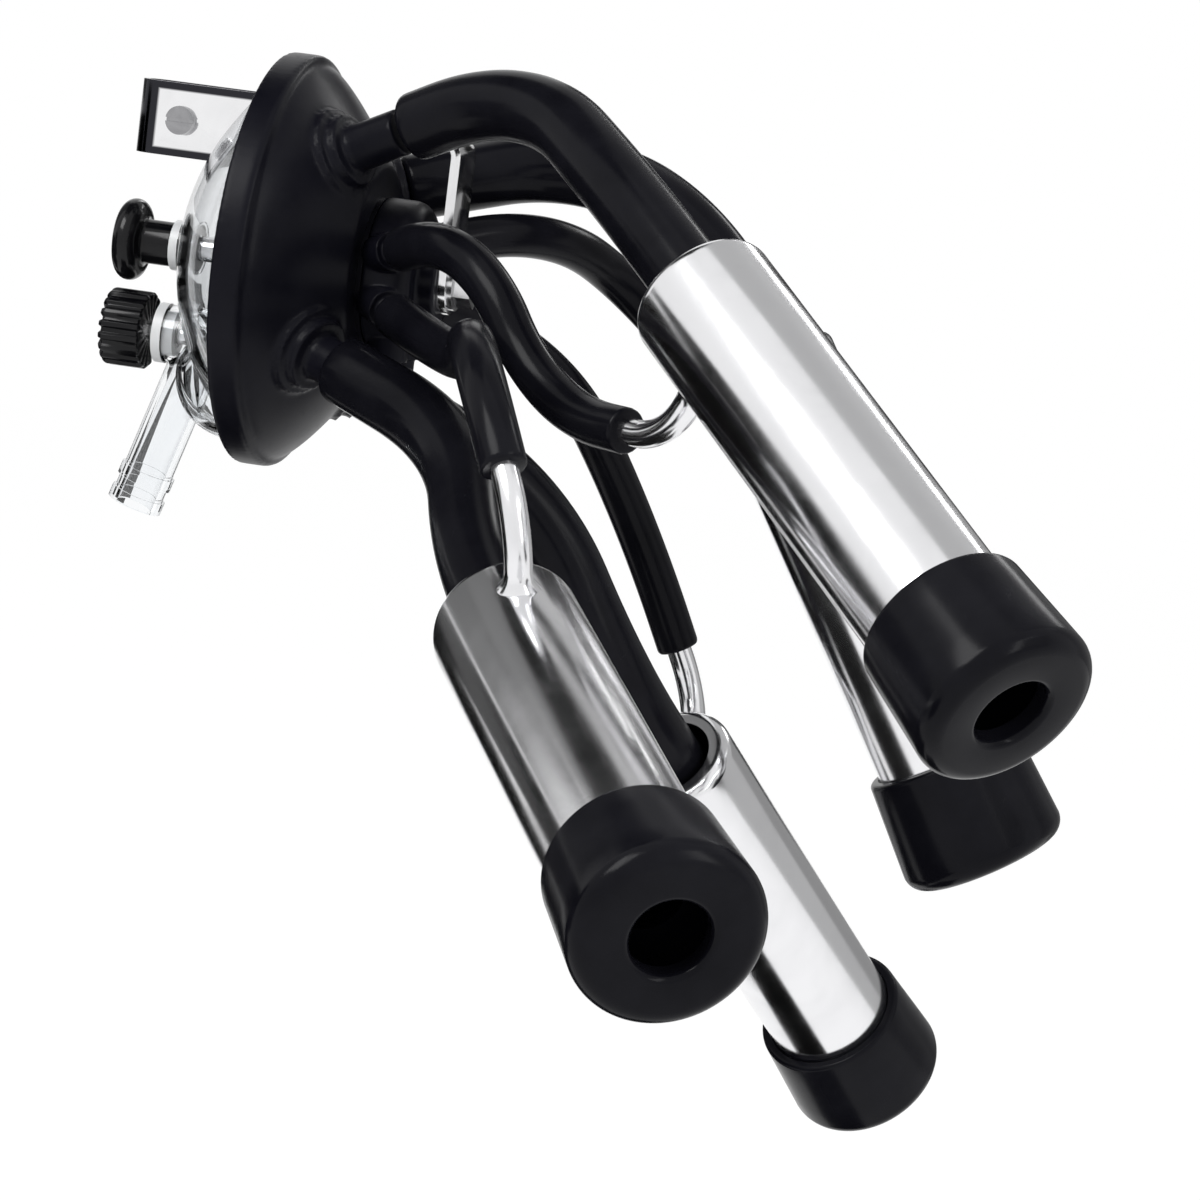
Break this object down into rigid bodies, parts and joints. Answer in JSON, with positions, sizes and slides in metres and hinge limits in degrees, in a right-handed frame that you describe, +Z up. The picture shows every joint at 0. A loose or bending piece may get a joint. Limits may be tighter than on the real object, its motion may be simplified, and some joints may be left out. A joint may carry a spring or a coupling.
{
  "type": "milking claw",
  "caption": "Milking claw with a clear bowl, black bell cover, shut-off valve and hanging hook, joined by rubber tubes to stainless teat cups with rubber liners.",
  "frame": {"origin": "middle of the flat underside of the hanging hook, where it rests on a rail", "axes": "+Z up, +X along the claw's axis towards the milk nipples and the cups, -Y towards the viewer"},
  "size_m": [0.3441, 0.5113, 0.3542],
  "materials": {
    "clear_plastic": "clear, moulded",
    "black_plastic": "satin, moulded",
    "gloss_black": "glossy, moulded",
    "pale_plastic": "satin",
    "black_rubber": "satin, moulded",
    "stainless": "bright",
    "polished_stainless": "polished"
  },
  "bodies": {
    "claw": {"claw_bowl": "clear_plastic", "bowl_gasket": "black_rubber", "claw_cover": "black_plastic", "distributor_gasket": "black_rubber", "pulse_distributor": "black_plastic", "hanging_hook": "stainless", "hook_washer": "stainless", "clamp_bolt": "stainless", "clamp_knob": "gloss_black", "clamp_seal": "pale_plastic", "valve_bonnet": "pale_plastic", "stem_seal": "black_rubber", "loop_bracket": "stainless", "bracket_screw": "stainless", "bracket_nut": "stainless", "shell_1": "polished_stainless", "liner_1": "black_rubber", "pulse_tube_1": "black_rubber", "shell_2": "polished_stainless", "liner_2": "black_rubber", "pulse_tube_2": "black_rubber", "shell_3": "polished_stainless", "liner_3": "black_rubber", "pulse_tube_3": "black_rubber", "shell_4": "polished_stainless", "liner_4": "black_rubber", "pulse_tube_4": "black_rubber"},
    "valve": {"valve_stem": "stainless", "valve_plug": "black_rubber", "valve_knob": "gloss_black"}
  },
  "joints": [
    {"name": "valve_slide", "type": "slide", "parent": "claw", "child": "valve", "axis": [-1, 0, 0], "range_m": [0, 0.006]}
  ]
}
